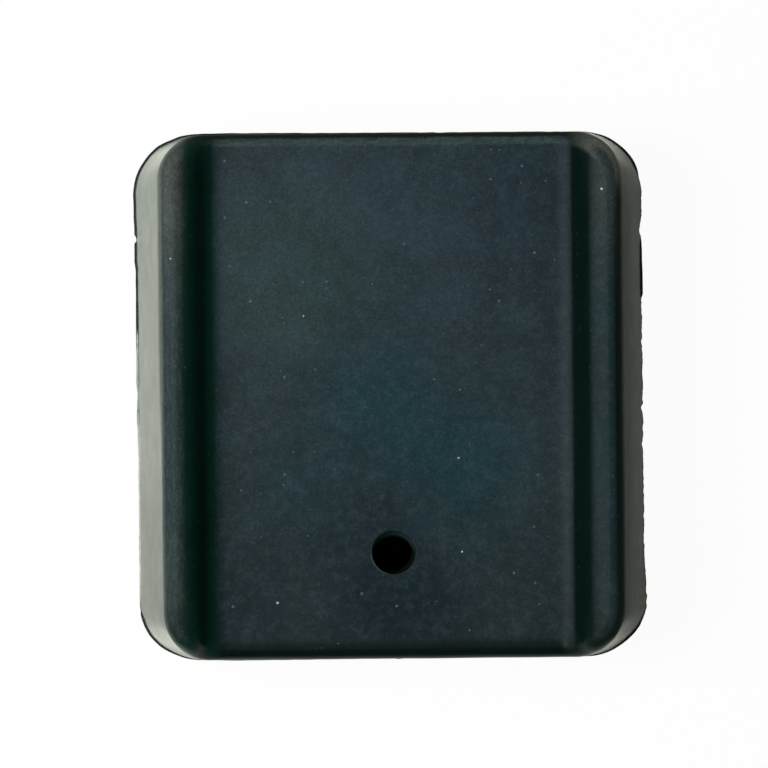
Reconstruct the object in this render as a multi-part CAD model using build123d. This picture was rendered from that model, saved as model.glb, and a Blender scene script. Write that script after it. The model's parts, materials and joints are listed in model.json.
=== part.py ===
from build123d import *
import os

# Rubber buffer block, moulded in one piece: a flat-floored channel runs the whole length
# between two rounded rails, and a blind hole in the floor locates what sits in the channel.
# X runs across the rails, Y along the channel and Z up. The origin is the middle of the
# underside. All sizes are in millimetres.

# Channel, the seat for a flat bar or beam
floor_width = 64.0         # flat of the floor, between the feet of the rails
floor_height = 23.0        # rubber between the underside and the floor

# Rails, whose inner side is one S-shaped curve of two arcs
rail_height = 7.43         # crest above the floor, before its outer edge is rounded
rail_run = 11.1            # flat of the floor to the outer wall, at crest height
foot_radius = 4.5          # hollow arc at the foot; the crown arc takes the rest of the rise
crown_overrun = 0.3        # how far outside the outer wall the crown arc comes level

# Outer walls
block_length = 104.0       # along the channel, at the underside
side_setback = 6.9         # how far each long wall leans in between underside and crest
end_setback = 2.1          # the same lean of each end wall
base_corner_radius = 12.5  # upright corners at the underside
crest_corner_radius = 9.5  # the same corners at crest height
rim_radius = 2.4           # rounding where the outer walls turn over into the top

# Locating hole, moulded by a round pin
hole_diameter = 8.0
hole_from_end = 22.0       # hole centre to the nearer end of the underside
hole_web = 5.0             # rubber left under the hole
hole_mouth_radius = 0.4    # rounding of the mouth

# Thin lip of flash that the mould leaves round the underside
flash_width = 0.5
flash_thickness = 0.4

# Worked-out sizes
crest_height = floor_height + rail_height
crest_x = floor_width / 2 + rail_run
base_width = 2 * (crest_x + side_setback)
crest_length = block_length - 2 * end_setback
hole_y = hole_from_end - block_length / 2
edge_tolerance = 0.01      # for telling edges and faces apart by height


def leaning_block():
    """Block whose outer walls lean in from the underside up to crest height."""
    base = RectangleRounded(base_width, block_length, base_corner_radius)
    crest = RectangleRounded(2 * crest_x, crest_length, crest_corner_radius)
    return loft([base, Pos(0, 0, crest_height) * crest], ruled=True)


def rail_curve():
    """Inner side of the right-hand rail: foot and crown arcs that meet in one tangent."""
    foot_x = floor_width / 2
    level_x = crest_x + crown_overrun
    run = level_x - foot_x
    both_radii = (run**2 + rail_height**2) / (2 * rail_height)
    foot_share = foot_radius / both_radii
    meeting = (foot_x + run * foot_share, floor_height + rail_height * foot_share)
    foot = TangentArc((foot_x, floor_height), meeting, tangent=(1, 0))
    crown = TangentArc((level_x, crest_height), meeting, tangent=(-1, 0))
    return foot + crown


def channel():
    """Space above the floor and between the rails, as a cutting body longer than the block."""
    foot_x = floor_width / 2
    level_x = crest_x + crown_overrun
    above = crest_height + rail_height
    right_rail = rail_curve()
    left_rail = mirror(right_rail, Plane.YZ)
    floor = Line((-foot_x, floor_height), (foot_x, floor_height))
    clearance = Polyline(
        (level_x, crest_height), (level_x, above), (-level_x, above), (-level_x, crest_height)
    )
    section = make_face([floor, right_rail, clearance, left_rail])
    return extrude(Plane.XZ.offset(-block_length) * section, amount=2 * block_length)


def rim_edges(block):
    """Closed line of edges where the outer walls meet the rails and the floor."""
    edges = ShapeList()
    for face in block.faces():
        span = face.bounding_box()
        if span.min.Z < edge_tolerance and span.max.Z > floor_height - edge_tolerance:
            edges += face.edges().filter_by(
                lambda edge: edge.bounding_box().min.Z > floor_height - edge_tolerance
            )
    return edges


def locating_hole():
    """Blind hole as a turned cutting body: flat bottom, straight wall and flared mouth."""
    radius = hole_diameter / 2
    wall_top = floor_height - hole_mouth_radius
    mouth_edge = radius + hole_mouth_radius
    core = Polyline((0, crest_height), (0, hole_web), (radius, hole_web), (radius, wall_top))
    flare = CenterArc((mouth_edge, wall_top), hole_mouth_radius, 90, 90)
    top = Polyline((mouth_edge, floor_height), (mouth_edge, crest_height), (0, crest_height))
    section = make_face([core, flare, top])
    return Pos(0, hole_y, 0) * revolve(Plane.XZ * section, Axis.Z)


def flash_lip():
    """Thin lip in the plane of the underside, following the base outline."""
    outline = RectangleRounded(
        base_width + 2 * flash_width,
        block_length + 2 * flash_width,
        base_corner_radius + flash_width,
    )
    return extrude(outline, amount=flash_thickness)


def buffer_block():
    """The whole moulding as one solid."""
    block = leaning_block() - channel()
    block = fillet(rim_edges(block), rim_radius)
    return block - locating_hole() + flash_lip()


os.makedirs("parts", exist_ok=True)
export_step(buffer_block(), "parts/buffer_block.step")
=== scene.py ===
import json
import math
from bisect import bisect_left

import bpy
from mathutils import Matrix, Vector, noise
from mathutils.geometry import delaunay_2d_cdt


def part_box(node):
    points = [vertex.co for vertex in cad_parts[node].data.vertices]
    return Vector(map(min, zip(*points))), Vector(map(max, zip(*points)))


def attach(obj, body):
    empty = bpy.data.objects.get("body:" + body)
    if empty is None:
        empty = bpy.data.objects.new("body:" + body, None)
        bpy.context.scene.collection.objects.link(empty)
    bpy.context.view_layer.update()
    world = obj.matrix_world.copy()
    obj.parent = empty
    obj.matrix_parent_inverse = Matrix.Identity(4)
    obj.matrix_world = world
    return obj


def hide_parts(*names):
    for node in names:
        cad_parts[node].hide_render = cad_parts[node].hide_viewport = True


# Rubber buffer block: one moulding with a flat-floored channel between two rounded rails, a
# locating hole near one end and a ragged lip of mould flash round the underside.
# X runs across the rails, Y along the channel, Z up. Sizes are in millimetres until a mesh
# is made of them.

MM = 0.001

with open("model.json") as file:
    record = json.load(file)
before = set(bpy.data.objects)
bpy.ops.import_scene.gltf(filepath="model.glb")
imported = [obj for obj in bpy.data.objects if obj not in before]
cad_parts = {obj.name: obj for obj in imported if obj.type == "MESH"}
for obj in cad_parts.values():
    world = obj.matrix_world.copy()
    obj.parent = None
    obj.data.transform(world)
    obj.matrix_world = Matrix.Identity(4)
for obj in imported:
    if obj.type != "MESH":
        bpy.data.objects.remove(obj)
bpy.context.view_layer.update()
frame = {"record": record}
low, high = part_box("buffer_block")
mounts = {mount["name"]: mount for mount in frame["record"]["mounts"]}

# ---- Sizes of the moulding ----

LIP_ALLOWANCE = 0.5  # lip round the underside, inside the box
HALF_WIDTH = high.x / MM - LIP_ALLOWANCE
HALF_LENGTH = high.y / MM - LIP_ALLOWANCE
FLOOR_HEIGHT = mounts["channel_floor"]["pos_m"][2] / MM
FLOOR_HALF = 32.0  # half the flat of the channel
SIDE_SETBACK = 6.9  # lean of the long walls up to the crest
RIGHT_SETBACK = 6.25  # the right one came out a little steeper
END_SETBACK = 2.1  # lean of the end walls
RAIL_HEIGHT = 7.43  # crest above the floor
FOOT_RADIUS = 4.5  # hollow arc at the foot of a rail
CROWN_OVERRUN = 0.3  # crown comes level this far outside
BASE_CORNER = 12.5  # upright corners at the underside
CREST_CORNERS = {"far_left": 8.0, "near_left": 9.0,  # the same corners at crest height
                 "far_right": 8.3, "near_right": 9.3}
RIM_RADIUS = 2.4  # walls turning over into the top

RIM_START_X = 40.8  # where the rim begins to turn over
RIM_START_Y = 47.7
RIM_BEND = 8.0  # upright corners at that line

CREST_HEIGHT = FLOOR_HEIGHT + RAIL_HEIGHT
CREST_X = HALF_WIDTH - SIDE_SETBACK
RIGHT_CREST_X = HALF_WIDTH - RIGHT_SETBACK
CREST_Y = HALF_LENGTH - END_SETBACK
LEVEL_X = CREST_X + CROWN_OVERRUN
RAIL_RUN = LEVEL_X - FLOOR_HALF
BOTH_RADII = (RAIL_RUN ** 2 + RAIL_HEIGHT ** 2) / (2 * RAIL_HEIGHT)
CROWN_RADIUS = BOTH_RADII - FOOT_RADIUS
MEETING_X = FLOOR_HALF + RAIL_RUN * FOOT_RADIUS / BOTH_RADII
FOOT_Z = FLOOR_HEIGHT + FOOT_RADIUS
CROWN_Z = CREST_HEIGHT - CROWN_RADIUS

HOLE_X, HOLE_Y, _ = (value / MM for value in mounts["locating_hole"]["pos_m"])
HOLE_RADIUS = 3.94  # the pin's hole after the rubber shrank
MOUTH_RADIUS = 4.22  # its mouth, where the floor draws in
MOUTH_SHIFT = Vector((0.36, 0.0))  # it drew in a little to the right
THROAT_REACH = Vector((3.80, 3.62))  # narrowest place, just under the mouth
THROAT_SHIFT = Vector((0.28, -0.66))  # it leans to the near side
HOLE_BOTTOM = 5.0
TAG_AT = math.radians(252.0)  # tag of rubber at the throat's near left
TAG_SPREAD = 0.12
TAG_DEPTH = 0.035  # as a share of the throat's reach
FLAT_AT = math.radians(236.0)  # flat beside the tag
FLAT_SPREAD = 0.40
FLAT_DEPTH = 0.04
MOUTH_SLOPES = ((0.60, 0.85), (0.25, 10))  # its drop, as (share of its width, power)

# ---- Fineness of the mesh ----

OUTLINE_STEP = 0.42
WALL_RINGS = 24
WALL_GRADING = 1.25  # rings lie closer together low down
RIM_STEPS = 10
HOLE_STEPS = 112
MOUTH_STEPS = 8
MOUTH_RINGS = (0.3, 0.75, 1.3)  # rings of floor points round the mouth
MOUTH_CLEAR = 2.6  # the floor's own points keep this far off
FLOOR_STEP = 1.05
RAIL_STEP = 0.46
ROW_STEP = 0.95
ACROSS_MARGIN = 0.3  # the top's points keep clear of the rim
ALONG_MARGIN = 0.45
ROW_SLACK = 0.01  # a row's last point may pass its end by this
KEEP_INSIDE = 1  # the triangulation fills what lies inside the borders
MERGE_WITHIN = 1e-6
UNDERSIDE_RINGS = (0.18, 0.4, 0.6, 0.78, 0.9, 0.97)  # as shares of the way to the edge
BORE_RINGS = (20.6, 18.6, 16.0, 12.0, 8.0, 5.6)  # as heights
BOTTOM_RINGS = (0.93, 0.6, 0.25)  # as shares of the bore's radius
RIM_SEARCH_STEPS = 44  # halvings, to well under a micrometre


# ---- Form of the top: channel floor, rail feet, crowns and crests ----

def top_height(x):
    """Height of the top surface at this distance across the block."""
    run = abs(x)
    if run <= FLOOR_HALF:
        return FLOOR_HEIGHT
    if run <= MEETING_X:
        return FOOT_Z - math.sqrt(FOOT_RADIUS ** 2 - (run - FLOOR_HALF) ** 2)
    if run <= LEVEL_X:
        return CROWN_Z + math.sqrt(CROWN_RADIUS ** 2 - (LEVEL_X - run) ** 2)
    return CREST_HEIGHT


def top_nearest(x, z):
    """Distance of a point above the top surface (below it: negative) and that surface's normal."""
    side = math.copysign(1.0, x)
    run = abs(x)
    if run <= FLOOR_HALF or run >= LEVEL_X:
        return z - top_height(x), Vector((0.0, 0.0, 1.0))
    from_foot = Vector((run - FLOOR_HALF, z - FOOT_Z))
    turn = RAIL_RUN * from_foot.y - (CROWN_Z - FOOT_Z) * from_foot.x
    if turn < 0.0:
        reach = from_foot.length
        return FOOT_RADIUS - reach, Vector((-side * from_foot.x / reach, 0.0, -from_foot.y / reach))
    from_crown = Vector((run - LEVEL_X, z - CROWN_Z))
    reach = from_crown.length
    return reach - CROWN_RADIUS, Vector((side * from_crown.x / reach, 0.0, from_crown.y / reach))


# ---- Outline of the block: paired points at the underside and at crest height ----

def above(plan, height):
    """Point at a height above a point of the plan."""
    return Vector((plan.x, plan.y, height))


class Station:
    """One place on the way round the block, where the wall is a straight line going up."""

    def __init__(self, base, crest, outward, part, place):
        self.base = base
        self.crest = crest
        self.outward = outward
        self.part = part
        self.place = place
        lean = self.outward.dot(self.base - self.crest) / CREST_HEIGHT
        self.facing = Vector((self.outward.x, self.outward.y, lean)).normalized()

    def wall(self, height):
        """Point of the outer wall at a height."""
        return above(self.base.lerp(self.crest, height / CREST_HEIGHT), height)

    def turn_over(self):
        """Centre of the rim's rounding, the height where it leaves the wall, the top's normal."""
        lowest = 0.5 * FLOOR_HEIGHT
        highest = CREST_HEIGHT + RIM_RADIUS
        for _ in range(RIM_SEARCH_STEPS):
            height = 0.5 * (lowest + highest)
            centre = self.wall(height) - RIM_RADIUS * self.facing
            gap, upward = top_nearest(centre.x, centre.z)
            if gap < -RIM_RADIUS:
                lowest = height
            else:
                highest = height
        return centre, height, upward


def side_stations(part, outward, along, at_base, at_crest):
    """Stations of one straight side. Both rows are its reach outward, its start and its end."""
    base_reach, base_start, base_end = at_base
    crest_reach, crest_start, crest_end = at_crest
    count = round((base_end - base_start) / OUTLINE_STEP)
    stations = []
    for step in range(count):
        share = step / count
        base = outward * base_reach + along * (base_start + (base_end - base_start) * share)
        crest = outward * crest_reach + along * (crest_start + (crest_end - crest_start) * share)
        place = base.x if along.x else base.y
        stations.append(Station(base, crest, outward, part, place))
    return stations


def corner_stations(part, quarter, base_centre, crest_centre):
    """Stations of one upright corner, which tapers from the base radius to the crest radius."""
    count = round(0.5 * math.pi * BASE_CORNER / OUTLINE_STEP)
    stations = []
    for step in range(count):
        share = step / count
        angle = 0.5 * math.pi * (quarter + share)
        outward = Vector((math.cos(angle), math.sin(angle)))
        base = base_centre + BASE_CORNER * outward
        crest = crest_centre + CREST_CORNERS[part] * outward
        stations.append(Station(base, crest, outward, part, 90.0 * share))
    return stations


# Each side and the corner after it, as (side, corner, outward, reach at base, reach at crest)
SIDES = [("right", "far_right", Vector((1, 0)), HALF_WIDTH, RIGHT_CREST_X),
         ("far_end", "far_left", Vector((0, 1)), HALF_LENGTH, CREST_Y),
         ("left", "near_left", Vector((-1, 0)), HALF_WIDTH, CREST_X),
         ("near_end", "near_right", Vector((0, -1)), HALF_LENGTH, CREST_Y)]


def outline():
    """Stations all the way round, anticlockwise seen from above, from the right-hand side on."""
    stations = []
    for quarter, (side, corner, outward, base, crest) in enumerate(SIDES):
        _, last_corner, _, _, last_crest = SIDES[quarter - 1]
        _, _, along, next_base, next_crest = SIDES[(quarter + 1) % 4]
        straight = next_base - BASE_CORNER
        radius = CREST_CORNERS[corner]
        at_crest = (crest, CREST_CORNERS[last_corner] - last_crest, next_crest - radius)
        stations += side_stations(side, outward, along, (base, -straight, straight), at_crest)
        base_centre = outward * (base - BASE_CORNER) + along * straight
        crest_centre = outward * (crest - radius) + along * (next_crest - radius)
        stations += corner_stations(corner, quarter, base_centre, crest_centre)
    return stations


# ---- Flash lip: how far it stands out, and where it was torn off ----

THIN_LIP = 0.28  # wider than this, the wall flares out to it
FLARE_HEIGHT = 16.0  # how far up that flare dies away
FLARE_HOLLOW = 1.4  # above 1, the flare is hollow
BITE_HEIGHT = 1.6  # how far up a torn bite reaches
LIP_THICKNESS = 0.16
LIP_ROUNDING = 0.05  # the lip's edge stands this far past its faces
LIP_TOP = 0.2  # height where the wall starts
LIP_EDGE_LEVEL = 0.45  # how high its outermost edge lies, as a share of its thickness
TORN_FLARE = 0.8  # share that THIN_LIP loses where the lip is torn
MILD_TEARS = 0.3  # share of the ragged edge away from the right side

# Smooth unevenness over the plan, as (amount, bumps per millimetre, layer of the noise)
LIP_WAVER = (0.05, 0.45, 3.0)
COARSE_TEARS = (0.17, 1.15, 8.0)
FINE_TEARS = (0.10, 2.9, 5.0)
THICKNESS_WAVER = (0.05, 0.5, 1.0)
MOUTH_WAVER = (0.05, 2.0, 4.0)  # here bumps per radius

# Stops along each part, as (place, width): the place is millimetres along a side, and degrees
# through a corner from its first side to its second.
LIP_WIDTHS = {
    "right": [(-39.5, 0.5), (-35, 0.34), (-31, 0.14), (-11, 0.12), (-10.2, -0.16), (-9.4, 0.1),
              (-3.8, 0.14), (-2.9, -0.2), (-2, 0.12), (12, 0.1), (19, 0.08), (19.6, 0.34),
              (24, 0.3), (28.8, 0.22), (30.6, 0.1), (32.4, -0.36), (34.4, 0.12), (37, 0.28),
              (39.5, 0.3)],
    "far_right": [(0, 0.3), (14, 0.16), (24, 0.5), (30, 0.58), (60, 0.4), (76, 0.2),
                  (90, -0.06)],
    "far_end": [(-37.5, 0.28), (-33, 0.36), (-24, 0.34), (-12, 0.22), (9, 0.16), (10, 0.05),
                (12, 0.14), (30, 0.12), (37.5, 0)],
    "far_left": [(0, 0.26), (26, 0.34), (38, 0.64), (50, 0.7), (70, 0.74), (90, 0.6)],
    "left": [(-39.5, 0.05), (-10.5, 0.04), (-8, 0.16), (-3, 0.24), (0, 0.14), (3, 0.26), (8, 0.2),
             (12, 0.28), (25, 0.22), (27, 0.44), (30.6, 0.46), (31, 0.04), (31.8, 0.03),
             (32.3, 0.42), (39.5, 0.58)],
    "near_left": [(0, 0.05), (12, 0.16), (17, 0.4), (36, 0.62), (50, 0.5), (66, 0.24),
                  (90, 0.1)],
    "near_end": [(-37.5, 0.04), (-33, 0.26), (-17, 0.24), (0, 0.14), (1.2, 0.3), (3, 0.1),
                 (30, 0.14), (32, 0.02), (34, 0.16), (37.5, 0.06)],
    "near_right": [(0, 0.06), (25, 0.42), (40, 0.5), (60, 0.84), (76, 0.8), (90, 0.52)],
}
# Where the lip was torn off it leaves a sloping, ragged foot instead of a flat ledge.
TORN_STRETCHES = {
    "right": [(-39.5, 1), (18.8, 1), (19.6, 0), (29, 0), (31, 1), (39.5, 1)],
    "far_right": [(0, 1), (16, 1), (26, 0), (90, 0)],
    "near_right": [(0, 0), (55, 0), (80, 1), (90, 1)],
    "left": [(-39.5, 1), (-10.5, 1), (-7, 0.2), (0, 0), (39.5, 0)],
    "near_left": [(0, 1), (12, 1), (18, 0), (90, 0)],
}


def between_stops(stops, place):
    """Value at a place, on straight lines between the stops."""
    places = [stop[0] for stop in stops]
    after = bisect_left(places, place)
    if after == 0:
        return stops[0][1]
    if after == len(stops):
        return stops[-1][1]
    (start, first), (end, last) = stops[after - 1], stops[after]
    return first + (last - first) * (place - start) / (end - start)


def torn(station):
    """1 where the lip was torn away, 0 where it is whole."""
    return between_stops(TORN_STRETCHES.get(station.part, [(0, 0)]), station.place)


def wavering(plan, amount, fineness, layer):
    """Smooth unevenness over the plan."""
    return amount * noise.noise(Vector((fineness * plan.x, fineness * plan.y, layer)))


def lip_width(station):
    """How far the lip, or its torn root, stands out from the base outline."""
    width = between_stops(LIP_WIDTHS[station.part], station.place)
    ragged = wavering(station.base, *COARSE_TEARS) + wavering(station.base, *FINE_TEARS)
    on_right = 1.0 if station.part in ("right", "near_right") else MILD_TEARS
    return width + wavering(station.base, *LIP_WAVER) + torn(station) * on_right * ragged


# ---- The block's mesh ----

class Surface:
    """Points, faces and finishes of the growing mesh."""

    def __init__(self):
        self.points = []
        self.faces = []
        self.finishes = []

    def ring(self, points):
        """Adds a closed ring of points and returns their numbers."""
        first = len(self.points)
        self.points.extend(points)
        return list(range(first, len(self.points)))

    def face(self, corners, finish):
        self.faces.append(corners)
        self.finishes.append(finish)

    def onward(self, ring, points, finish):
        """Adds the next ring, joined to the last one by quads, and returns it."""
        following = self.ring(points)
        for step in range(len(ring)):
            after = (step + 1) % len(ring)
            self.face((ring[step], ring[after], following[after], following[step]), finish)
        return following


RUBBER, FLASH, BORE = 0, 1, 2  # finishes, as numbers of material slots
SHARP_EDGE = math.radians(48)  # edges that turn more than this stay crisp


def add_underside_and_lip(surface, stations):
    """Flat underside and the lip round it. Returns the ring at the lip's outer top edge."""
    centre = surface.ring([Vector((0.0, 0.0, 0.0))])[0]
    rings = [[above(share * s.base, 0.0) for s in stations] for share in UNDERSIDE_RINGS]
    ring = surface.ring(rings[0])
    for step in range(len(ring)):
        surface.face((centre, ring[(step + 1) % len(ring)], ring[step]), RUBBER)
    bottom, edge, top = [], [], []
    for station in stations:
        width = lip_width(station)
        thickness = LIP_THICKNESS + wavering(station.base, *THICKNESS_WAVER)
        inner = station.base + (width - LIP_ROUNDING) * station.outward
        bottom.append(above(inner, 0.0))
        outermost = station.base + width * station.outward
        edge.append(above(outermost, LIP_EDGE_LEVEL * thickness))
        top.append(above(inner, thickness))
    for points in (*rings[1:], bottom):
        ring = surface.onward(ring, points, RUBBER)
    return surface.onward(surface.onward(ring, edge, FLASH), top, FLASH)


def wall_foot(station, height):
    """Point of the wall low down, where it flares out to a wide lip or is bitten by a torn one."""
    width = lip_width(station)
    bite = min(0.0, width) * max(0.0, 1.0 - height / BITE_HEIGHT)
    flare = max(0.0, width - THIN_LIP * (1.0 - TORN_FLARE * torn(station)))
    flare *= max(0.0, 1.0 - height / FLARE_HEIGHT) ** FLARE_HOLLOW
    return station.wall(height) + bite * station.facing + flare * above(station.outward, 0.0)


def add_walls_and_rim(surface, stations, lip_top):
    """Outer walls and the rounding at their top. Returns the ring where the top begins."""
    turns = [station.turn_over() for station in stations]
    feet = [wall_foot(station, LIP_TOP) for station in stations]
    ring = surface.onward(lip_top, feet, FLASH)
    for step in range(1, WALL_RINGS + 1):
        share = (step / WALL_RINGS) ** WALL_GRADING
        points = [wall_foot(station, LIP_TOP + (end_height - LIP_TOP) * share)
                  for station, (_, end_height, _) in zip(stations, turns)]
        ring = surface.onward(ring, points, RUBBER)
    for step in range(1, RIM_STEPS + 1):
        points = [centre + RIM_RADIUS * station.facing.slerp(upward, step / RIM_STEPS)
                  for station, (centre, _, upward) in zip(stations, turns)]
        ring = surface.onward(ring, points, RUBBER)
    return ring


def round_hole():
    """Angle of each point round the hole, with its cosine and sine."""
    for step in range(HOLE_STEPS):
        angle = 2 * math.pi * step / HOLE_STEPS
        yield angle, math.cos(angle), math.sin(angle)


def near_hole(shift, x, y):
    """Point of the channel floor, counted from the hole's axis and a shift off it."""
    return Vector((HOLE_X + shift.x + x, HOLE_Y + shift.y + y, FLOOR_HEIGHT))


def mouth_ring(grow=0.0):
    """Outline of the hole's mouth in the channel floor, a little wider than the bore."""
    ring = []
    for _, across, along in round_hole():
        around = Vector((across, along))
        radius = MOUTH_RADIUS + grow + wavering(around, *MOUTH_WAVER)
        ring.append(near_hole(MOUTH_SHIFT, radius * around.x, radius * around.y))
    return ring


def throat_ring():
    """Upper end of the bore, drawn to the near right, with a flat and a tag at the near left."""
    ring = []
    for angle, across, along in round_hole():
        tag = math.exp(-((angle - TAG_AT) / TAG_SPREAD) ** 2)
        flat = math.exp(-((angle - FLAT_AT) / FLAT_SPREAD) ** 2)
        drawn = 1.0 - TAG_DEPTH * tag - FLAT_DEPTH * flat
        ring.append(near_hole(THROAT_SHIFT, drawn * THROAT_REACH.x * across,
                              drawn * THROAT_REACH.y * along))
    return ring


def level_ring(radius, height):
    """Round ring about the hole's axis."""
    return [Vector((HOLE_X + radius * across, HOLE_Y + radius * along, height))
            for _, across, along in round_hole()]


def add_hole(surface):
    """Drawn-in mouth, straight bore and flat bottom. Returns the ring at the mouth."""
    edge = mouth_ring()
    throat = throat_ring()
    mouth = surface.ring(edge)
    ring = mouth
    for step in range(1, MOUTH_STEPS + 1):
        share = step / MOUTH_STEPS
        slope = sum(steepness * share ** power for steepness, power in MOUTH_SLOPES)
        points = []
        for outer, inner in zip(edge, throat):
            drop = (inner - outer).length * slope
            points.append(outer.lerp(inner, share) - Vector((0.0, 0.0, drop)))
        ring = surface.onward(ring, points, RUBBER)
    levels = [(HOLE_RADIUS, height) for height in BORE_RINGS]
    levels += [(share * HOLE_RADIUS, HOLE_BOTTOM) for share in BOTTOM_RINGS]
    for radius, height in levels:
        ring = surface.onward(ring, level_ring(radius, height), BORE)
    centre = surface.ring([Vector((HOLE_X, HOLE_Y, HOLE_BOTTOM))])[0]
    for step in range(HOLE_STEPS):
        surface.face((centre, ring[step], ring[(step + 1) % HOLE_STEPS]), BORE)
    return mouth


def across_places():
    """Places across the block for the top's rows of points, closer together over the rails."""
    places = []
    x = 0.5 * FLOOR_STEP
    while x < RIGHT_CREST_X:
        places.append(x)
        x += FLOOR_STEP if x < FLOOR_HALF - FLOOR_STEP else RAIL_STEP
    return [-place for place in reversed(places)] + places


def floor_points(rim_plan):
    """Points inside the rim for the channel floor and the rails, in staggered rows."""
    far = sorted((p.x, p.y) for p in rim_plan if p.y > 0)
    near = sorted((p.x, p.y) for p in rim_plan if p.y < 0)
    leftmost = min(p.x for p in rim_plan) + ACROSS_MARGIN
    rightmost = max(p.x for p in rim_plan) - ACROSS_MARGIN
    points = []
    for column, x in enumerate(across_places()):
        if x < leftmost or x > rightmost:
            continue
        start = between_stops(near, x) + ALONG_MARGIN
        end = between_stops(far, x) - ALONG_MARGIN
        rows = round((end - start) / ROW_STEP)
        for row in range(rows + 1):
            y = start + (end - start) * (row + 0.5 * (column % 2)) / rows
            off_hole = math.hypot(x - HOLE_X, y - HOLE_Y) >= HOLE_RADIUS + MOUTH_CLEAR
            if y <= end + ROW_SLACK and off_hole:
                points.append(Vector((x, y)))
    return points


def closed_border(first, count):
    """Pairs of neighbours on a closed ring of numbered points."""
    return [(first + step, first + (step + 1) % count) for step in range(count)]


def add_top(surface, rim, mouth):
    """Channel floor and rails between the rim and the hole's mouth."""
    known = rim + mouth
    plan = [surface.points[number].xy for number in known]
    borders = closed_border(0, len(rim)) + closed_border(len(rim), len(mouth))
    rim_plan = plan[:len(rim)]
    for extra in MOUTH_RINGS:
        plan += [p.xy for p in mouth_ring(extra)]
    plan += floor_points(rim_plan)
    points, _, triangles, sources, *_ = delaunay_2d_cdt(
        plan, borders, [], KEEP_INSIDE, MERGE_WITHIN)
    numbers = []
    for point, origins in zip(points, sources):
        if origins[0] < len(known):
            numbers.append(known[origins[0]])
        else:
            numbers += surface.ring([above(point, top_height(point.x))])
    mouth_set = set(mouth)
    for triangle in triangles:
        corners = tuple(numbers[corner] for corner in triangle)
        if not mouth_set.issuperset(corners):
            surface.face(corners, RUBBER)


# Layers of unevenness: size of the bumps, their height, and a shift that sets them apart
UNEVENNESS = [(17.0, 0.075, Vector((0.0, 0.0, 0.0))), (5.5, 0.022, Vector((9.0, 2.0, 4.0))),
              (1.7, 0.006, Vector((1.0, 7.0, 3.0)))]
EVEN_UP_TO = 0.6  # the lip and the wall's foot stay even
UNEVEN_FROM = 3.6


def unevenness(point):
    """Slight unevenness of a rubber moulding, in millimetres along the surface's normal."""
    return sum(height * noise.noise(point / size + shift) for size, height, shift in UNEVENNESS)


def add_object(name, data):
    """New object in the scene."""
    thing = bpy.data.objects.new(name, data)
    bpy.context.scene.collection.objects.link(thing)
    return thing


def make_block(materials):
    """The block as one closed mesh."""
    stations = outline()
    surface = Surface()
    lip_top = add_underside_and_lip(surface, stations)
    rim = add_walls_and_rim(surface, stations, lip_top)
    mouth = add_hole(surface)
    add_top(surface, rim, mouth)
    mesh = bpy.data.meshes.new("rubber_buffer_block")
    mesh.from_pydata([point * MM for point in surface.points], [], surface.faces)
    for material in materials:
        mesh.materials.append(material)
    mesh.polygons.foreach_set("material_index", surface.finishes)
    mesh.polygons.foreach_set("use_smooth", [True] * len(mesh.polygons))
    mesh.update()
    normals = [vertex.normal.copy() for vertex in mesh.vertices]
    for vertex, normal in zip(mesh.vertices, normals):
        point = vertex.co / MM
        rise = min(1.0, max(0.0, (point.z - EVEN_UP_TO) / (UNEVEN_FROM - EVEN_UP_TO)))
        vertex.co = vertex.co + rise * MM * unevenness(point) * normal
    mesh.set_sharp_from_angle(angle=SHARP_EDGE)
    mesh.validate()
    return add_object("rubber_buffer_block", mesh)


# ---- Shader nodes ----

def math_node(operation, turned=False):
    """Method that places one Math node, for a number and what it is combined with."""
    def place(number, *others):
        values = (*others, number) if turned else (number, *others)
        return number.nodes.math(operation, *values)
    return place


class Number:
    """A number that varies over a surface. Sums with it place the nodes that work them out."""

    def __init__(self, nodes, socket):
        self.nodes = nodes
        self.socket = socket

    __add__ = math_node("ADD")
    __sub__ = math_node("SUBTRACT")
    __rsub__ = math_node("SUBTRACT", turned=True)
    __mul__ = math_node("MULTIPLY")
    __truediv__ = math_node("DIVIDE")
    __rtruediv__ = math_node("DIVIDE", turned=True)
    __pow__ = math_node("POWER")
    __lt__ = math_node("LESS_THAN")
    __abs__ = math_node("ABSOLUTE")

    def ramp(self, start, end, low=0.0, high=1.0):
        """Stretched from start..end to low..high with soft ends."""
        node = self.nodes.add("ShaderNodeMapRange", {"interpolation_type": "SMOOTHSTEP"})
        return Number(self.nodes, self.nodes.fill(node, self, start, end, low, high))

    def vary(self, low, high):
        """Low where this is 0, high where it is 1."""
        return self.ramp(0, 1, low, high)

    def band(self, rise, fall):
        """1 where both ramps are up."""
        return self.ramp(*rise) * self.ramp(*fall)


def greater(one, other):
    """The greater of two numbers."""
    return one.nodes.math("MAXIMUM", one, other)


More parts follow.
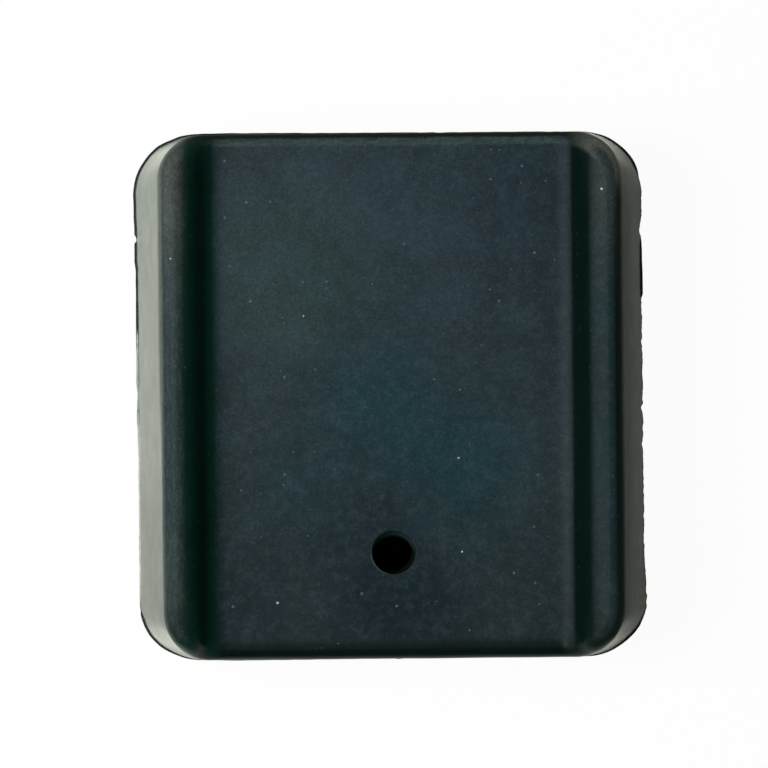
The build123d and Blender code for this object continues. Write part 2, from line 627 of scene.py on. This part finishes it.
class Nodes:
    """Short calls for placing and joining the nodes of one tree."""

    def __init__(self, tree):
        self.tree = tree

    def add(self, kind, settings=None, **inputs):
        """Places a node. Inputs are sockets to join or plain values, by the names they carry."""
        node = self.tree.nodes.new(kind)
        for name, value in (settings or {}).items():
            setattr(node, name, value)
        for name, value in inputs.items():
            self.put(node.inputs[name.replace("_", " ")], value)
        return node

    def put(self, socket, value):
        """Joins an output to a socket, or sets the socket's own value."""
        if isinstance(value, Number):
            value = value.socket
        if isinstance(value, bpy.types.NodeSocket):
            self.tree.links.new(value, socket)
        else:
            socket.default_value = value

    def fill(self, node, *values):
        """Fills a node's inputs in order and returns its first output."""
        for socket, value in zip(node.inputs, values):
            self.put(socket, value)
        return node.outputs[0]

    def math(self, operation, *values):
        """Result of a Math node."""
        node = self.add("ShaderNodeMath", {"operation": operation})
        return Number(self, self.fill(node, *values))

    def vector(self, operation, *values):
        """Result of a Vector Math node."""
        node = self.add("ShaderNodeVectorMath", {"operation": operation})
        self.fill(node, *values)
        if operation in ("LENGTH", "DISTANCE", "DOT_PRODUCT"):
            return Number(self, node.outputs["Value"])
        return node.outputs[0]

    def scale(self, vector, factor):
        """Vector or colour times a number."""
        return self.fill(self.add("ShaderNodeVectorMath", {"operation": "SCALE"}, Scale=factor),
                         vector)

    def split(self, vector):
        """The x, y and z of a vector."""
        parts = self.add("ShaderNodeSeparateXYZ", None, Vector=vector).outputs
        return [Number(self, part) for part in parts]

    def mix(self, share, one, other):
        """Colour between two others."""
        node = self.add("ShaderNodeMix", {"data_type": "RGBA"})
        self.put(node.inputs["Factor"], share)
        self.put(node.inputs["A"], one)
        self.put(node.inputs["B"], other)
        return node.outputs["Result"]

    def noise(self, place, scale, detail=3.0, roughness=0.55):
        """Cloudy noise from 0 to 1."""
        return Number(self, self.add("ShaderNodeTexNoise", None, Vector=place, Scale=scale,
                                     Detail=detail, Roughness=roughness).outputs["Fac"])

    def cells(self, place, size, dimensions="3D", **inputs):
        """Cells about scattered points: the node, three chances of each cell, the distance."""
        settings = {"feature": "F1", "voronoi_dimensions": dimensions}
        node = self.add("ShaderNodeTexVoronoi", settings, Vector=place, Scale=1.0 / size, **inputs)
        parts = self.add("ShaderNodeSeparateColor", None, Color=node.outputs["Color"]).outputs
        chances = [Number(self, part) for part in parts]
        return node, chances, Number(self, node.outputs["Distance"])


# ---- Effects that materials share ----

FULL_TURN = 6.283


def new_group(name, **inputs):
    """Empty node group. Returns its nodes, its place and the inputs, in the order given."""
    tree = bpy.data.node_groups.new(name, "ShaderNodeTree")
    tree.interface.new_socket("Place", in_out="INPUT", socket_type="NodeSocketVector")
    for key, value in inputs.items():
        kind = "NodeSocketFloat" if isinstance(value, float) else "NodeSocketVector"
        socket = tree.interface.new_socket(key.replace("_", " "), in_out="INPUT", socket_type=kind)
        socket.default_value = value
    nodes = Nodes(tree)
    place, *given = nodes.add("NodeGroupInput").outputs[:len(inputs) + 1]
    return nodes, place, *(Number(nodes, socket) for socket in given)


def finished_group(nodes, outcome, value):
    """Gives a group its one result, by name."""
    nodes.tree.interface.new_socket(outcome, in_out="OUTPUT", socket_type="NodeSocketFloat")
    nodes.put(nodes.add("NodeGroupOutput").inputs[outcome], value)
    return nodes.tree


def cloudy_bloom():
    """Group: cloudy patches of surface bloom, large clouds broken up by small ones."""
    nodes, place, size, contrast = new_group("cloudy_bloom", Cloud_size=20.0, Contrast=0.5)
    large = 1.0 / size
    broad_clouds = nodes.noise(place, large, 2.0)
    small_clouds = nodes.noise(place, large * 7.0, 4.0, 0.65)
    half_span = (1.0 - contrast) * 0.4 + 0.06
    blend = broad_clouds * 0.62 + small_clouds * 0.38
    return finished_group(nodes, "Mask", blend.ramp(0.5 - half_span, half_span + 0.5))


def dust_specks():
    """Group: scattered specks of dust, each in its own cell and of its own size."""
    nodes, place, spacing, size, share = new_group(
        "dust_specks", Spacing=2.0, Size=0.25, Share=0.2)
    _, chances, distance = nodes.cells(place, spacing)
    own_size = size * chances[1].vary(0.45, 1)
    speck = (distance * spacing / own_size).ramp(1, 0.35)
    brightness = chances[2] ** 5.0 * 0.85 + 0.15
    return finished_group(nodes, "Mask", speck * (chances[0] < share) * brightness)


def lint_hairs():
    """Group: a few short curved hairs of lint lying on top."""
    nodes, place, spacing, length, thickness, share = new_group(
        "lint_hairs", Spacing=9.0, Length=1.6, Thickness=0.08, Share=0.2)
    flat = nodes.vector("MULTIPLY", place, (1, 1, 0))
    cell, chances, _ = nodes.cells(flat, spacing, "2D", Randomness=0.7)
    middle = nodes.scale(cell.outputs["Position"], spacing)
    turned = nodes.add("ShaderNodeVectorRotate", {"rotation_type": "Z_AXIS"},
                       Vector=nodes.vector("SUBTRACT", flat, middle), Angle=chances[1] * FULL_TURN)
    along, aside, _ = nodes.split(turned.outputs[0])
    off_line = abs(aside - along ** 2.0 * 0.28)
    line = (off_line / thickness).ramp(1, 0.4)
    inside = abs(along) < length * 0.5
    return finished_group(nodes, "Mask", line * inside * (chances[0] < share))


def moulded_grain():
    """Group: fine grain of a rubber surface, as a height from 0 to 1."""
    nodes, place, size = new_group("moulded_grain", Grain_size=0.5)
    fine = 1.0 / size
    grain = nodes.noise(place, fine, 3.0, 0.6)
    pits = nodes.add("ShaderNodeTexVoronoi", {"feature": "F1"}, Vector=place, Scale=fine * 0.45)
    dip = Number(nodes, pits.outputs["Distance"]).ramp(0, 0.3, 0, 0.35)
    return finished_group(nodes, "Height", grain * 0.65 + dip)


def rubbed_scuffs():
    """Group: short rubbed streaks, drawn out along one direction."""
    nodes, place, stretch, coverage = new_group(
        "rubbed_scuffs", Stretch=(0.25, 1.6, 1.0), Coverage=0.4)
    streaks = nodes.noise(nodes.vector("MULTIPLY", place, stretch), 1.0, 4.0, 0.7)
    threshold = 0.72 - coverage * 0.35
    return finished_group(nodes, "Mask", streaks.ramp(threshold, threshold + 0.16))


def foot_highlight():
    """Group: painted highlight, a pale line along the foot of the left wall, by the torn lip."""
    nodes, place, side, start, end = new_group("foot_highlight", Side=50.0, Start=-42.0, End=14.0)
    x, y, _ = nodes.split(place)
    out = x * -1.0 - side
    inner_edge = y.ramp(-9, -3, -0.5, -0.05)
    across = (out - inner_edge).ramp(-0.12, 0.05) * out.ramp(0.2, 0.1)
    along = (y - start).ramp(0, 5) * (end - y).ramp(0, 2)
    streaks = nodes.noise(nodes.vector("MULTIPLY", place, (0.3, 0.55, 0.3)), 1.0, 3.0)
    return finished_group(nodes, "Mask", across * along * streaks.ramp(0.30, 0.55, 0.45, 1))


GROUPS = {
    "bloom": cloudy_bloom(),
    "specks": dust_specks(),
    "hairs": lint_hairs(),
    "grain": moulded_grain(),
    "scuffs": rubbed_scuffs(),
    "foot": foot_highlight(),
}


class Material(Nodes):
    """Nodes of a new material with one Principled shader."""

    def __init__(self, name):
        self.material = bpy.data.materials.new(name)
        self.material.use_nodes = True
        super().__init__(self.material.node_tree)
        self.shader = self.tree.nodes["Principled BSDF"]
        self.object_place = self.add("ShaderNodeTexCoord").outputs["Object"]

    def give(self, **inputs):
        """Fills inputs of the shader, by name."""
        for name, value in inputs.items():
            self.put(self.shader.inputs[name.replace("_", " ")], value)


class Rubber(Material):
    """Nodes of one of the rubber's materials, with the place on the block in millimetres."""

    def __init__(self, name):
        super().__init__(name)
        self.place = self.scale(self.object_place, 1.0 / MM)

    def use(self, group, **inputs):
        """Places one of the groups and returns its result."""
        node = self.add("ShaderNodeGroup", {"node_tree": GROUPS[group]}, Place=self.place,
                        **inputs)
        return Number(self, node.outputs[0])

    def bump(self, height, strength=0.6):
        """Normal for a height in millimetres."""
        return self.add("ShaderNodeBump", None, Strength=strength, Distance=MM,
                        Height=height).outputs[0]


# ---- The rubber's colours, and where they lie ----

CLEAN_RUBBER = (0.0006, 0.0064, 0.0048, 1.0)  # dark green where nothing has settled
LEFT_RAIL_PAINTED_LIGHT = (0.0010, 0.0240, 0.0160, 1.0)  # painted light: lighter, greener base inside the left rail
BLOOMED_RUBBER = (0.0195, 0.0370, 0.0475, 1.0)  # slate film on faces that look up
THICK_BLOOM = (0.0400, 0.0600, 0.0660, 1.0)
PALER_BLOOM = (0.0400, 0.0620, 0.0580, 1.0)  # paler film: painted highlight on the left crest and along the far edge, and the pale arc at the hole's mouth
LEFT_RIM_REFLECTION = (0.1000, 0.1250, 0.1150, 1.0)  # painted reflection where the left wall turns over
GREEN_BLOOM = (0.0160, 0.0420, 0.0380, 1.0)
TEAL_BLOOM = (0.0020, 0.0320, 0.0385, 1.0)
CREST_BLOOM = (0.0015, 0.0180, 0.0225, 1.0)  # bluer and thinner along the right rail
DARK_BLOOM = (0.0002, 0.0088, 0.0145, 1.0)
CORNER_DUST_AND_GLEAM = (0.1300, 0.1450, 0.1150, 1.0)  # dust with a painted reflection, where the far right corner turns over
BROWN_DUST = (0.0860, 0.0910, 0.0770, 1.0)
WALL_DUST = (0.0500, 0.0560, 0.0480, 1.0)
FOOT_HIGHLIGHT = (0.42, 0.44, 0.40, 1.0)  # painted highlight along the left wall's foot, by the torn lip
PALE_DUST = (0.45, 0.50, 0.48, 1.0)
FLASH_COLOURS = (0.0010, 0.0055, 0.0040, 1.0), (0.0050, 0.0110, 0.0105, 1.0)
BORE_COLOURS = (0.0008, 0.0016, 0.0014, 1.0), (0.0016, 0.0030, 0.0026, 1.0)

# Soft round patches in the film, as (middle, radius, colour, share)
FILM_PATCHES = [
    ((-20, 24), 26, GREEN_BLOOM, 0.50),
    ((-24, 34), 30, THICK_BLOOM, 0.16),
    ((-2, -2), 20, TEAL_BLOOM, 0.55),
    ((14, -14), 19, TEAL_BLOOM, 0.60),
    ((-17, -17), 14, TEAL_BLOOM, 0.25),
    ((1, -42), 18, DARK_BLOOM, 0.80),
    ((-3, -29), 17, DARK_BLOOM, 0.60),
    ((-32, -40), 17, DARK_BLOOM, 0.40),
    ((-23, 12), 15, THICK_BLOOM, 0.20),
    ((30, 40), 24, DARK_BLOOM, 0.35),
    ((30, -15), 17, THICK_BLOOM, 0.10),
]
PATCH_CORE = 0.15  # share of a patch's radius at full strength
PATCH_CLOUDS = 0.09  # clouds per millimetre that shift the edges
PATCH_SHIFT = 9.0  # how far they shift them, end to end

# The largest crumbs of dust, as (x, y, size)
CRUMBS = [(-22.0, -39.5, 0.60), (13.5, -30.0, 0.48), (40.5, 39.0, 0.60), (13.0, -12.0, 0.46),
          (-41.5, 26.5, 0.40), (-16.5, 15.5, 0.42)]

# Where soft changes start and end, in millimetres along an axis
ON_CREST = (38.7, 40.5)
CREST_OUTSIDE = (42, 40.8)
ON_RAIL = (37.5, 41)
INSIDE_LEFT_RAIL = ((-32, -35), (-41.5, -38.5))
NEAR_END_RAMP = (-48.3, -45.4)
FAR_EDGE = ((47.8, 48.5), (50.1, 49.4))
FAR_RIGHT_CORNER = ((33.5, 42.5), (37, 44.5))
FOOT_FADES = (2.3, 0.4)

# Pale ragged arc on the hole's mouth, inside and outside of its edge
ARC_INSIDE = (MOUTH_RADIUS - 0.12, MOUTH_RADIUS + 0.03)
ARC_OUTSIDE = (MOUTH_RADIUS + 0.42, MOUTH_RADIUS + 0.08)
ARC_TOWARD = (-0.82, -0.57, 0.0)


class Spot(Rubber):
    """A shaded spot of the block: its place, which way it faces, and which part it is on."""

    def __init__(self, name):
        super().__init__(name)
        self.flat = self.vector("MULTIPLY", self.place, (1, 1, 0))
        self.x, self.y, self.z = self.split(self.place)
        self.run, self.reach = abs(self.x), abs(self.y)
        normal = self.add("ShaderNodeNewGeometry").outputs["Normal"]
        self.right, self.far, self.up = self.split(normal)
        self.left_half = self.x.ramp(4, -4)
        # 1 away from the near end, falling to 0 at its edge: the film and the dust fade out there
        # and the rim turns smoother.
        self.away_from_near_end = self.y.ramp(*NEAR_END_RAMP)
        self.rail_ends = self.y.ramp(-36, -45) * self.run.ramp(35, 38)
        # Where the film lies: faces that look up. Faces turned left, toward the window, take more
        # of it and faces turned right take less: painted light and shade.
        self.settled_and_lit = (self.up - self.right * 0.13).ramp(0.79, 0.985) * self.away_from_near_end
        self.on_rim = self.find_rim()
        self.wall = self.find_wall()

    def find_rim(self):
        """Mask of the rounded rim and all that lies outside it."""
        past_x = greater(self.run - (RIM_START_X - RIM_BEND), 0.0)
        past_y = greater(self.reach - (RIM_START_Y - RIM_BEND), 0.0)
        outward = self.math("SQRT", past_x ** 2.0 + past_y ** 2.0)
        return outward.ramp(RIM_BEND - 0.3, RIM_BEND + 0.9)

    def find_wall(self):
        """Mask of the outer walls."""
        steep_or_low = greater(self.up.ramp(0.42, 0.25), self.z.ramp(15, 11))
        higher_near_left = self.left_half * self.y.ramp(8, -22, 0, 3.4)
        below_rim = (self.z - higher_near_left).ramp(29.2, 24)
        below_end_rim = greater(self.run.ramp(33, 40), self.z.ramp(22, 19))
        outside = greater(self.run.ramp(40, 41), self.reach.ramp(46, 47))
        return steep_or_low * below_rim * below_end_rim * outside


def slate_film(spot):
    """Colour of the rubber with the slate film on its upward faces, thinner toward the ends, with
    painted light and shade.
    """
    clouds = spot.use("bloom", Cloud_size=26, Contrast=0.35)
    # Painted shade at the left rail's foot, where the film thins.
    left_foot_shade = greater(spot.x.ramp(-33, -26.5, 0.72, 1), spot.x.ramp(-36, -38))
    # Painted shade: the film thins toward the near end, away from the light at the far end.
    near_end_shade = spot.y.ramp(-60, 35, 0.45, 1)
    film = spot.settled_and_lit * clouds.vary(0.64, 1.02) * near_end_shade
    # Thinner toward the far edge. Thinner toward the right is painted shade.
    film = film * spot.y.ramp(26, 48, 1, 0.88) * spot.x.ramp(-20, 36, 1, 0.88)
    film = film * spot.x.ramp(37.5, 40, 1, 0.50) * spot.rail_ends.vary(1, 0.45) * left_foot_shade
    # Painted light: a lighter, greener base inside the left rail, on the slope turned away from the
    # window.
    inside_left = spot.x.band(*INSIDE_LEFT_RAIL) * spot.reach.ramp(50, 48.8)
    colour = spot.mix(film, spot.mix(inside_left, CLEAN_RUBBER, LEFT_RAIL_PAINTED_LIGHT), BLOOMED_RUBBER)
    right_crest = spot.x.ramp(37, 40, 0, 0.5) * spot.settled_and_lit * spot.rail_ends.vary(1, 0.4)
    return spot.mix(right_crest, colour, CREST_BLOOM)


def film_patches(spot, colour):
    """Adds the green, teal, dark and thick patches of the film, with ragged edges."""
    clouds = spot.add("ShaderNodeTexNoise", None, Vector=spot.place, Scale=PATCH_CLOUDS,
                      Detail=4.0).outputs["Color"]
    shifted = spot.vector("ADD", spot.flat, spot.scale(clouds, PATCH_SHIFT))
    shifted = spot.vector("SUBTRACT", shifted, (0.5 * PATCH_SHIFT,) * 3)
    shifted = spot.vector("MULTIPLY", shifted, (1, 1, 0))
    for middle, radius, tone, share in FILM_PATCHES:
        distance = spot.vector("DISTANCE", shifted, (*middle, 0.0))
        strength = distance.ramp(radius, PATCH_CORE * radius) * share
        colour = spot.mix(strength * spot.settled_and_lit, colour, tone)
    return colour


def left_crest_light(spot, colour):
    """Adds a painted highlight in streaks on the left crest, and a painted reflection where its
    wall turns over.
    """
    streaks = spot.use("scuffs", Stretch=(1.4, 0.35, 1), Coverage=0.8)
    on_crest = spot.run.band(ON_CREST, (*CREST_OUTSIDE, 0.55, 1))
    # Painted highlight on the left crest, the side toward the light, broken into streaks.
    crest = on_crest * spot.left_half * streaks.vary(0.45, 0.95)
    colour = spot.mix(crest * spot.y.ramp(-47, -34, 0.1, 1), colour, PALER_BLOOM)
    # Painted reflection where the left wall turns over.
    turning_over = spot.up.band((0.20, 0.30), (0.85, 0.40))
    rim_reflection = turning_over * spot.left_half * spot.run.ramp(38, 40) * 0.8
    return spot.mix(rim_reflection, colour, LEFT_RIM_REFLECTION)


def rail_dust_and_corner_gleam(spot, colour):
    """Adds brown dust toward the rails' ends, most at the far left, and dust with a painted
    reflection on the far right corner.
    """
    scuffs = spot.use("scuffs", Stretch=(1.1, 0.7, 1), Coverage=0.7)
    gritty = spot.noise(spot.place, 3.4, 3, 0.8)
    on_rail_ends = spot.run.ramp(*ON_RAIL) * spot.reach.ramp(14, 42)
    dusty = on_rail_ends * spot.up.ramp(0.55, 0.9) * scuffs.vary(0.65, 1)
    more_far = spot.y.ramp(-20, 30, 0.16, 1) * spot.away_from_near_end
    more_left = spot.x.ramp(-4, 4, 0.95, 0.34)
    dusty = dusty * more_far * more_left * gritty.ramp(0.25, 0.75, 0.45, 1.25)
    colour = spot.mix(dusty, colour, BROWN_DUST)
    # Dust with a painted reflection where the far right corner turns over.
    across, along = FAR_RIGHT_CORNER
    turning_over = spot.on_rim * spot.up.ramp(0.97, 0.75)
    corner = spot.x.ramp(*across) * spot.y.ramp(*along) * turning_over
    return spot.mix(corner * gritty.ramp(0.25, 0.75, 0.55, 1), colour, CORNER_DUST_AND_GLEAM)


def far_edge_highlight(spot, colour):
    """Adds a painted highlight in streaks along the far edge of the channel floor."""
    scuffs = spot.use("scuffs", Stretch=(0.5, 2.2, 1), Coverage=0.85)
    edge = spot.y.band(*FAR_EDGE) * spot.run.ramp(35, 31, 0.3, 1)
    return spot.mix(edge * spot.up.ramp(0.6, 0.9) * scuffs.vary(0.5, 1), colour, PALER_BLOOM)


def wall_dust(spot, colour, blotches):
    """Adds dust to the walls, more of it low down and on the right."""
    low_down = spot.z.ramp(20, 1, 0.05, 0.55)
    on_right = spot.x.ramp(0, 30, 0, 0.35)
    return spot.mix((low_down + on_right) * spot.wall * blotches.vary(0.35, 1), colour, WALL_DUST)


def mottling(spot, colour, flecks):
    """Adds pale haze on the film and the rubber's light and dark flecks."""
    haze = spot.noise(spot.place, 0.55, 3, 0.6).ramp(0.40, 0.72, 0, 0.22)
    colour = spot.mix(haze * spot.settled_and_lit, colour, THICK_BLOOM)
    speckle = spot.noise(spot.place, 2.2, 3, 0.7)
    return spot.scale(colour, flecks.vary(0.78, 1.18) + speckle.ramp(0.25, 0.75, -0.28, 0.28))


def loose_dust(spot):
    """Mask of specks, hairs and the largest crumbs, lying mostly on faces that look up."""
    large_specks = spot.use("specks", Spacing=2.1, Size=0.36, Share=0.45)
    fine_specks = spot.use("specks", Spacing=1, Size=0.22, Share=0.3)
    hairs = spot.use("hairs", Spacing=11, Length=1.5, Thickness=0.10, Share=0.14)
    hairs = hairs * spot.up.ramp(0.97, 0.995) * 0.30
    dust = greater(greater(large_specks * 0.40, fine_specks * 0.16), hairs)
    dust = dust * spot.up.ramp(0.1, 0.7, 0.15, 0.5)
    lies_flat = spot.up.ramp(0.4, 0.7)
    for x, y, size in CRUMBS:
        distance = spot.vector("DISTANCE", spot.flat, (x, y, 0.0))
        dust = greater(dust, distance.ramp(0.5 * size, 0.2 * size) * lies_flat)
    return dust


def pale_mouth_arc(spot, colour):
    """Adds a pale ragged arc along the near left of the hole's mouth."""
    middle = (HOLE_X + MOUTH_SHIFT.x, HOLE_Y + MOUTH_SHIFT.y, 0.0)
    from_hole = spot.vector("SUBTRACT", spot.flat, middle)
    ring = spot.vector("LENGTH", from_hole).band(ARC_INSIDE, ARC_OUTSIDE)
    toward = spot.vector("DOT_PRODUCT", spot.vector("NORMALIZE", from_hole), ARC_TOWARD)
    pale_arc = ring * toward.ramp(0.62, 0.95) * 0.60 * spot.z.ramp(22, 22.8)
    return spot.mix(pale_arc, colour, PALER_BLOOM)


def rubber_roughness(spot, flecks, dust):
    """Duller on the film, the rim and the dust, smoother at the near end."""
    on_film = spot.up.ramp(0.68, 0.88, 0.32, 0.60)
    matt_rim = spot.on_rim * spot.away_from_near_end.vary(0.3, 0.72)
    smooth_near = spot.away_from_near_end.ramp(1, 0) * spot.run.ramp(34.5, 32)
    roughness = greater(on_film, matt_rim) * smooth_near.vary(1, 0.55)
    steep_rim = spot.on_rim * spot.away_from_near_end * spot.up.ramp(0.78, 0.60, 0, 0.8)
    near_wall = spot.far.ramp(-0.97, -0.99, 0, 0.9)
    roughness = greater(greater(roughness, steep_rim), near_wall)
    return roughness + flecks.vary(-0.02, 0.04) + dust * 0.35


def rubber_relief(spot, dust):
    """Normal with the grain, the coarse clouds and the dust standing on the surface."""
    grain = spot.use("grain", Grain_size=0.55)
    coarse = spot.use("bloom", Cloud_size=6, Contrast=0.2)
    return spot.bump(grain * 0.014 + coarse * 0.03 + dust * 0.05)


def wall_sheen(spot, blotches):
    """Strength of the walls' glossy skin: scuffed on the ends, dulled on the right."""
    far, right = spot.far, spot.right
    far_end = greater(far.ramp(0.66, 0.97, 1, 0.15), right.ramp(0.05, 0.30))
    scuffed_ends = spot.math("MINIMUM", far_end, far.ramp(-0.60, -1, 1, 0.32))
    scuffed_ends = scuffed_ends * far.ramp(-0.990, -0.999, 1, 0.35)
    in_corner = abs(far).ramp(0.15, 0.50)
    dull_above = spot.z.ramp(25, 1, 0.55, 0.03) * in_corner.vary(1, 0.1)
    dulled_right = 1 - right.ramp(0, 0.4) * dull_above
    worn_left = right.ramp(-0.85, -0.96) * spot.y.ramp(0, -34)
    sheen = spot.wall * blotches.vary(0.80, 0.98) * in_corner.vary(1, 1.14)
    return sheen * scuffed_ends * dulled_right * worn_left.vary(1, 0.78)


def rubber_body():
    """Satin moulded rubber with slate bloom, dust and lint, painted light and shade, and film
    fading at the near end.
    """
    spot = Spot("moulded_rubber")
    blotches = spot.use("bloom", Cloud_size=5, Contrast=0.3)
    flecks = spot.use("bloom", Cloud_size=7, Contrast=0.05)
    dust = loose_dust(spot)

    colour = film_patches(spot, slate_film(spot))
    colour = left_crest_light(spot, colour)
    colour = rail_dust_and_corner_gleam(spot, colour)
    colour = far_edge_highlight(spot, colour)
    colour = wall_dust(spot, colour, blotches)
    colour = mottling(spot, colour, flecks)
    colour = pale_mouth_arc(spot, spot.mix(dust, colour, PALE_DUST))
    # Painted highlight along the left wall's foot.
    foot = spot.use("foot", Side=HALF_WIDTH) * spot.z.ramp(*FOOT_FADES)
    spot.give(Base_Color=spot.mix(foot, colour, FOOT_HIGHLIGHT),
              Roughness=rubber_roughness(spot, flecks, dust),
              Normal=rubber_relief(spot, dust), Coat_Weight=wall_sheen(spot, blotches),
              Coat_Roughness=0.12, Coat_IOR=1.5, IOR=1.22)
    return spot.material


def flash_rubber():
    """Thin lip of flash, the same rubber with a rougher torn edge."""
    nodes = Rubber("flash_rubber")
    clouds = nodes.use("bloom", Cloud_size=2.5, Contrast=0.5)
    specks = nodes.use("specks", Spacing=1.2, Size=0.2, Share=0.12)
    # Painted highlight along the left wall's foot, where the lip tore.
    foot = nodes.use("foot", Side=HALF_WIDTH)
    grain = nodes.use("grain", Grain_size=0.35)
    colour = nodes.mix(specks * 0.4, nodes.mix(clouds, *FLASH_COLOURS), PALE_DUST)
    nodes.give(Base_Color=nodes.mix(foot, colour, FOOT_HIGHLIGHT), Roughness=clouds.vary(0.42, 0.55),
               Normal=nodes.bump(grain * 0.05), IOR=1.2)
    return nodes.material


def bore_rubber():
    """Clean dull rubber inside the locating hole."""
    nodes = Rubber("bore_rubber")
    clouds = nodes.use("bloom", Cloud_size=3, Contrast=0.4)
    grain = nodes.use("grain", Grain_size=0.4)
    nodes.give(Base_Color=nodes.mix(clouds, *BORE_COLOURS), Roughness=clouds.vary(0.75, 0.9),
               Normal=nodes.bump(grain * 0.04, 0.5), Specular_IOR_Level=0.1)
    return nodes.material


# ---- Studio: floor, light and camera, in metres ----

WHITE = (1.0, 1.0, 1.0, 1.0)
FLOOR_COLOURS = (0.82, 0.86, 0.75, 1.0), (0.85, 0.89, 0.78, 1.0)
FLOOR_HALF_SIZE = 3.0
FLOOR_GAP = 0.03  # millimetres clear of the underside
FLOOR_WHITENED = 0.95  # share of plain white that the camera sees
SEEN_IN_GLOSS = 0.03  # share of it that glossy rubber reflects
WORLD_GREY = (0.09, 0.09, 0.09, 1.0)

# Soft boxes, as (name, place, size, watts)
LAMPS = [("window_light", (-0.70, 0.0, 0.95), 0.6, 14.2),
         ("ceiling_light", (-0.15, 0.25, 1.6), 1.6, 4.0)]
LAMPS_AIM = (0.0, 0.0, 0.02)

CAMERA_PLACE = (-0.00118, 0.00231, 0.7)  # straight above, a little off the middle
CAMERA_TURN = math.radians(-0.55)
CAMERA_LENS = 165.4
SENSOR_WIDTH = 36.0
CLIP_END = 20.0


def white_share(nodes, seen_share):
    """How much plain white a ray meets: camera and clear rays most, glossy rays a little."""
    path = nodes.add("ShaderNodeLightPath").outputs
    seen = greater(Number(nodes, path["Is Camera Ray"]), path["Is Transmission Ray"])
    return seen * seen_share + Number(nodes, path["Is Glossy Ray"]) * SEEN_IN_GLOSS


def studio_floor():
    """Large pale floor. The camera sees it whitened, and it keeps the block's soft shadow."""
    nodes = Material("studio_floor")
    paper = nodes.noise(nodes.object_place, 3, 2)
    nodes.give(Base_Color=nodes.mix(paper, *FLOOR_COLOURS), Roughness=0.9,
               Specular_IOR_Level=0.0)
    white = nodes.add("ShaderNodeEmission", None, Color=WHITE, Strength=1.0)
    blend = nodes.add("ShaderNodeMixShader")
    whitened = nodes.fill(blend, white_share(nodes, FLOOR_WHITENED), nodes.shader.outputs[0],
                          white.outputs[0])
    nodes.put(nodes.tree.nodes["Material Output"].inputs["Surface"], whitened)
    level = low.z - FLOOR_GAP * MM
    corners = [(x * FLOOR_HALF_SIZE, y * FLOOR_HALF_SIZE, level)
               for x, y in ((-1, -1), (1, -1), (1, 1), (-1, 1))]
    mesh = bpy.data.meshes.new("studio_floor")
    mesh.from_pydata(corners, [], [(0, 1, 2, 3)])
    mesh.materials.append(nodes.material)
    return add_object("studio_floor", mesh)


def studio_world():
    """Even overhead light, white where the camera looks past the floor."""
    world = bpy.data.worlds.new("studio_world")
    bpy.context.scene.world = world
    world.use_nodes = True
    nodes = Nodes(world.node_tree)
    background = nodes.tree.nodes["Background"]
    nodes.fill(background, nodes.mix(white_share(nodes, 1.0), WORLD_GREY, WHITE), 1.0)


def soft_lamp(name, place, size, watts):
    """Square soft box, aimed at the block."""
    lamp = bpy.data.lights.new(name, "AREA")
    lamp.shape = "SQUARE"
    lamp.size = size
    lamp.energy = watts
    thing = add_object(name, lamp)
    thing.location = place
    direction = Vector(LAMPS_AIM) - thing.location
    thing.rotation_euler = direction.to_track_quat("-Z", "Y").to_euler()


def overhead_camera():
    """Camera looking straight down, turned by half a degree."""
    camera = bpy.data.cameras.new("camera")
    camera.lens = CAMERA_LENS
    camera.sensor_width = SENSOR_WIDTH
    camera.clip_end = CLIP_END
    thing = add_object("camera", camera)
    thing.location = CAMERA_PLACE
    thing.rotation_euler = (0.0, 0.0, CAMERA_TURN)
    bpy.context.scene.camera = thing


# ---- Assembly ----

block = make_block([rubber_body(), flash_rubber(), bore_rubber()])
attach(block, "root")
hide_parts("buffer_block")

studio_floor()
studio_world()
for name, place, size, watts in LAMPS:
    soft_lamp(name, place, size, watts)
overhead_camera()
bpy.context.scene.view_settings.view_transform = "Standard"
